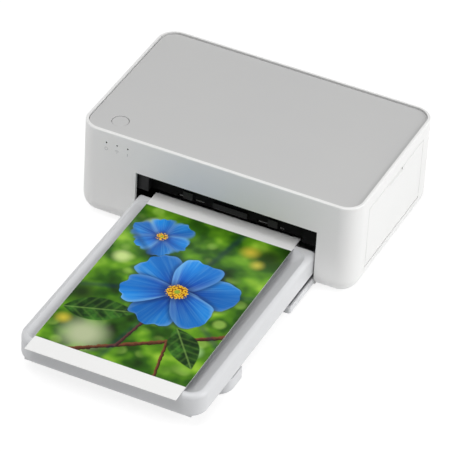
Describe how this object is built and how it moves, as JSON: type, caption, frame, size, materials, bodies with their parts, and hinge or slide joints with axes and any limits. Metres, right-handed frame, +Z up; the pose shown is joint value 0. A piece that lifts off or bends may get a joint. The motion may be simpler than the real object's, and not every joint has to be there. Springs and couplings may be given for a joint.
{
  "type": "compact photo printer",
  "caption": "Compact photo printer with a slide-in paper cassette, sliding output tray, side ribbon door and a dye ribbon drive inside.",
  "frame": {"origin": "on the table under the middle of the whole object at rest: middle of the housing's width, midway between the back of the housing and the front edge of the print", "axes": "+Z up, +X to the right of someone facing the front, +Y from the front towards the back"},
  "size_m": [0.1946, 0.295, 0.0705],
  "materials": {
    "shell_white": "fine satin moulding",
    "panel_grey": "smooth satin paint",
    "rubber_black": "matt",
    "steel": "zinc-plated sheet",
    "circuit_board": "solder mask",
    "clear_light_pipe": "clear moulding",
    "liner_black": "fine matt moulding",
    "acetal_white": "smooth, slightly waxy",
    "brass": "machined",
    "cartridge_grey": "moulded",
    "ribbon_film": "glossy dyed film",
    "head_ceramic": "glazed ceramic",
    "aluminium": "extruded",
    "tray_milky": "milky satin moulding",
    "photo_paper": "glossy photo paper"
  },
  "bodies": {
    "base": {"outer_shell": "shell_white", "top_panel": "panel_grey", "base_plate": "shell_white", "rubber_feet": "rubber_black", "case_screws": "steel", "button_board": "circuit_board", "light_pipes": "clear_light_pipe", "mouth_liner": "liner_black", "gate_wall": "liner_black", "exit_guide": "liner_black", "rear_guide": "liner_black", "left_frame": "steel", "right_frame": "steel", "gear_plate": "steel", "gear_posts": "steel", "feed_motor": "steel", "ribbon_motor": "steel", "ribbon_cartridge": "cartridge_grey", "ribbon_film": "ribbon_film", "head_pivot_shaft": "steel", "head_springs": "steel", "door_hinge_pin": "steel", "cooling_fan": "liner_black", "main_board": "circuit_board", "dc_jack": "liner_black"},
    "power_button": {"power_button": "panel_grey"},
    "ribbon_door": {"ribbon_door": "shell_white"},
    "print_head": {"head_arm": "steel", "thermal_head": "head_ceramic", "head_heat_sink": "aluminium"},
    "platen": {"platen_roller": "rubber_black", "platen_shaft": "steel", "platen_gear": "acetal_white"},
    "capstan": {"capstan_roller": "steel", "capstan_gear": "acetal_white"},
    "pinch": {"pinch_roller": "liner_black"},
    "transfer": {"transfer_gear": "acetal_white"},
    "pickup_idler": {"pickup_idler": "acetal_white"},
    "pickup": {"pickup_roller": "rubber_black", "pickup_shaft": "steel", "pickup_gear": "acetal_white"},
    "feed_pinion": {"feed_pinion": "brass"},
    "takeup": {"takeup_driver": "acetal_white", "takeup_spool": "ribbon_film"},
    "supply": {"supply_spool": "ribbon_film"},
    "ribbon_pinion": {"ribbon_pinion": "brass"},
    "exit_rollers": {"exit_rollers": "acetal_white"},
    "fan_rotor": {"fan_rotor": "liner_black"},
    "cassette": {"cassette_pan": "tray_milky"},
    "lifter": {"lift_plate": "steel", "paper_stack": "photo_paper"},
    "tray": {"output_tray": "tray_milky"},
    "print": {"photo_print": "photo_paper"}
  },
  "joints": [
    {"name": "power_button_press", "type": "slide", "parent": "base", "child": "power_button", "axis": [0, 0, -1], "range_m": [0, 0.0005], "stiffness_N_per_m": 600, "springref_m": -0.0008},
    {"name": "ribbon_door_hinge", "type": "hinge", "parent": "base", "child": "ribbon_door", "pos_m": [0.09605, 0.085, 0.0163], "axis": [0, 1, 0], "range_deg": [0, 90]},
    {"name": "cassette_slide", "type": "slide", "parent": "base", "child": "cassette", "axis": [0, -1, 0], "range_m": [0, 0.07]},
    {"name": "lifter_hinge", "type": "hinge", "parent": "cassette", "child": "lifter", "pos_m": [0.0078, -0.0875, 0.0057], "axis": [1, 0, 0], "range_deg": [0, 0.5]},
    {"name": "tray_slide", "type": "slide", "parent": "cassette", "child": "tray", "axis": [0, 1, 0], "range_m": [0, 0.038]},
    {"name": "print_slide", "type": "slide", "parent": "tray", "child": "print", "axis": [0.0087, -1, 0], "range_m": [0, 0.05]},
    {"name": "print_head_lower", "type": "hinge", "parent": "base", "child": "print_head", "pos_m": [0.0078, 0.1325, 0.046], "axis": [1, 0, 0], "range_deg": [0, 9], "stiffness_Nm_per_rad": 0.3, "springref_deg": -14.32, "deforming": ["head_springs"]},
    {"name": "platen_spin", "type": "hinge", "parent": "base", "child": "platen", "pos_m": [0.0078, 0.0935, 0.0226], "axis": [1, 0, 0], "continuous": true},
    {"name": "capstan_spin", "type": "hinge", "parent": "base", "child": "capstan", "pos_m": [0.0078, 0.1255, 0.0266], "axis": [1, 0, 0], "continuous": true},
    {"name": "transfer_spin", "type": "hinge", "parent": "base", "child": "transfer", "pos_m": [0.0078, 0.112, 0.0229], "axis": [1, 0, 0], "continuous": true},
    {"name": "pinch_spin", "type": "hinge", "parent": "base", "child": "pinch", "pos_m": [0.0078, 0.1255, 0.0339], "axis": [1, 0, 0], "continuous": true},
    {"name": "pickup_idler_spin", "type": "hinge", "parent": "base", "child": "pickup_idler", "pos_m": [0.0078, 0.08359, 0.01419], "axis": [1, 0, 0], "continuous": true},
    {"name": "pickup_spin", "type": "hinge", "parent": "base", "child": "pickup", "pos_m": [0.0078, 0.072, 0.0173], "axis": [1, 0, 0], "continuous": true},
    {"name": "feed_motor_spin", "type": "hinge", "parent": "base", "child": "feed_pinion", "pos_m": [0.0078, 0.09142, 0.03442], "axis": [1, 0, 0], "continuous": true},
    {"name": "takeup_spin", "type": "hinge", "parent": "base", "child": "takeup", "pos_m": [0.0078, 0.0735, 0.048], "axis": [1, 0, 0], "continuous": true},
    {"name": "supply_spin", "type": "hinge", "parent": "base", "child": "supply", "pos_m": [0.0078, 0.1135, 0.048], "axis": [1, 0, 0], "continuous": true},
    {"name": "ribbon_motor_spin", "type": "hinge", "parent": "base", "child": "ribbon_pinion", "pos_m": [0.0078, 0.06336, 0.05072], "axis": [1, 0, 0], "continuous": true},
    {"name": "exit_roller_spin", "type": "hinge", "parent": "base", "child": "exit_rollers", "pos_m": [0.0078, 0.0357, 0.0328], "axis": [1, 0, 0], "continuous": true},
    {"name": "fan_spin", "type": "hinge", "parent": "base", "child": "fan_rotor", "pos_m": [0.0078, 0.1379, 0.0509], "axis": [0, 1, 0], "continuous": true}
  ],
  "couplings": [
    {"joint": "transfer_spin", "follows": "platen_spin", "ratio": -0.94737},
    {"joint": "capstan_spin", "follows": "platen_spin", "ratio": 2},
    {"joint": "pinch_spin", "follows": "platen_spin", "ratio": -2.6667},
    {"joint": "pickup_idler_spin", "follows": "platen_spin", "ratio": -2.25},
    {"joint": "pickup_spin", "follows": "platen_spin", "ratio": 1.125},
    {"joint": "feed_motor_spin", "follows": "platen_spin", "ratio": -3},
    {"joint": "supply_spin", "follows": "takeup_spin", "ratio": 0.6875},
    {"joint": "ribbon_motor_spin", "follows": "takeup_spin", "ratio": -2.5}
  ]
}
